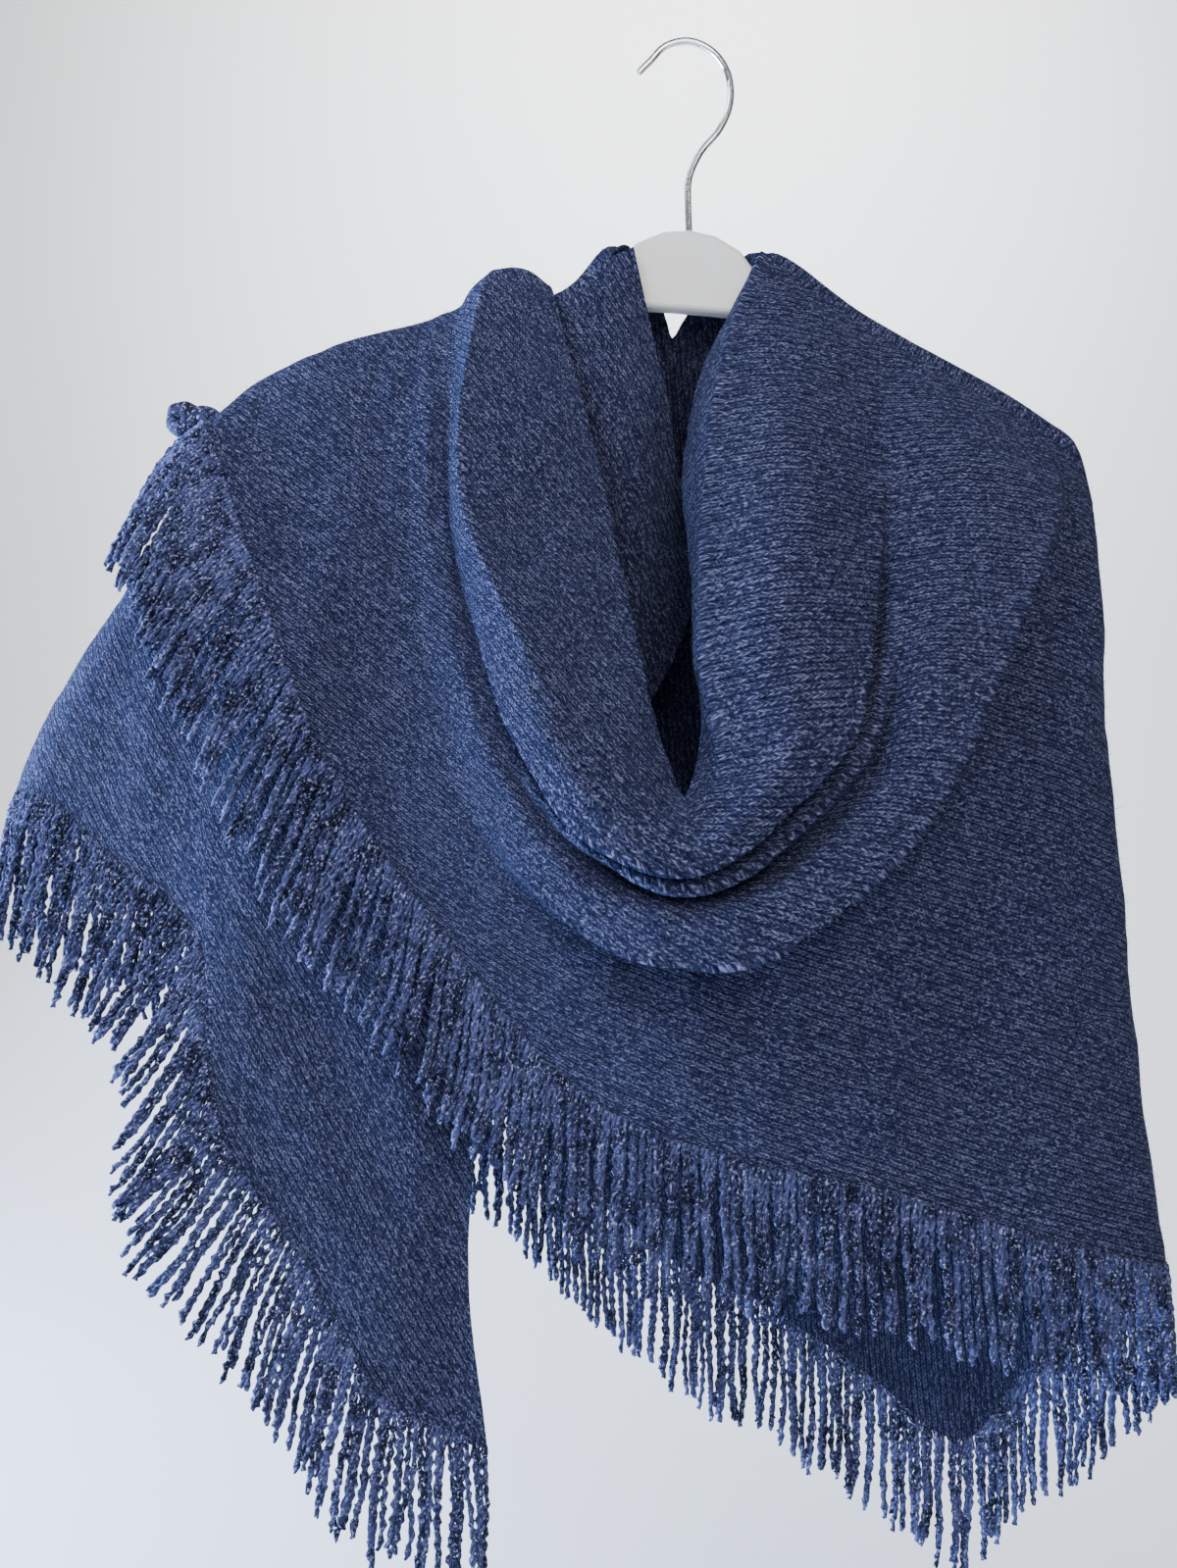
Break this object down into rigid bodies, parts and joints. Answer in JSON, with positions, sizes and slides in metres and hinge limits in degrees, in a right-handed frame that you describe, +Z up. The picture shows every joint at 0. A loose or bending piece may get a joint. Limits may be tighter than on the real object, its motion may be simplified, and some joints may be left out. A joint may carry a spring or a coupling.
{
  "type": "knit triangle shawl with a fringe, draped over a clothes hanger",
  "caption": "Fringed knit triangle shawl draped over a plain hanger, with cowl folds across the front and one end over the shoulder.",
  "frame": {"origin": "the point inside the hook's crown that bears on the rail or wall hook", "axes": "+Z up along the hanging direction, front faces -Y, +X to the viewer's right, units metres"},
  "size_m": [0.6378, 0.1781, 0.8596],
  "materials": {
    "navy_heather_knit": "matte",
    "navy_fringe_yarn": "matte",
    "white_plastic": "satin",
    "chrome_wire": "polished"
  },
  "bodies": {
    "root": {"shawl_wrap": "navy_heather_knit", "shawl_tail": "navy_heather_knit", "shawl_back": "navy_heather_knit", "shawl_tip_knot": "navy_heather_knit", "fringe_wrap": "navy_fringe_yarn", "fringe_tail": "navy_fringe_yarn", "fringe_side": "navy_fringe_yarn", "fringe_back_left": "navy_fringe_yarn", "fringe_back_right": "navy_fringe_yarn", "hanger_body": "white_plastic", "hanger_hook": "chrome_wire"}
  },
  "joints": []
}
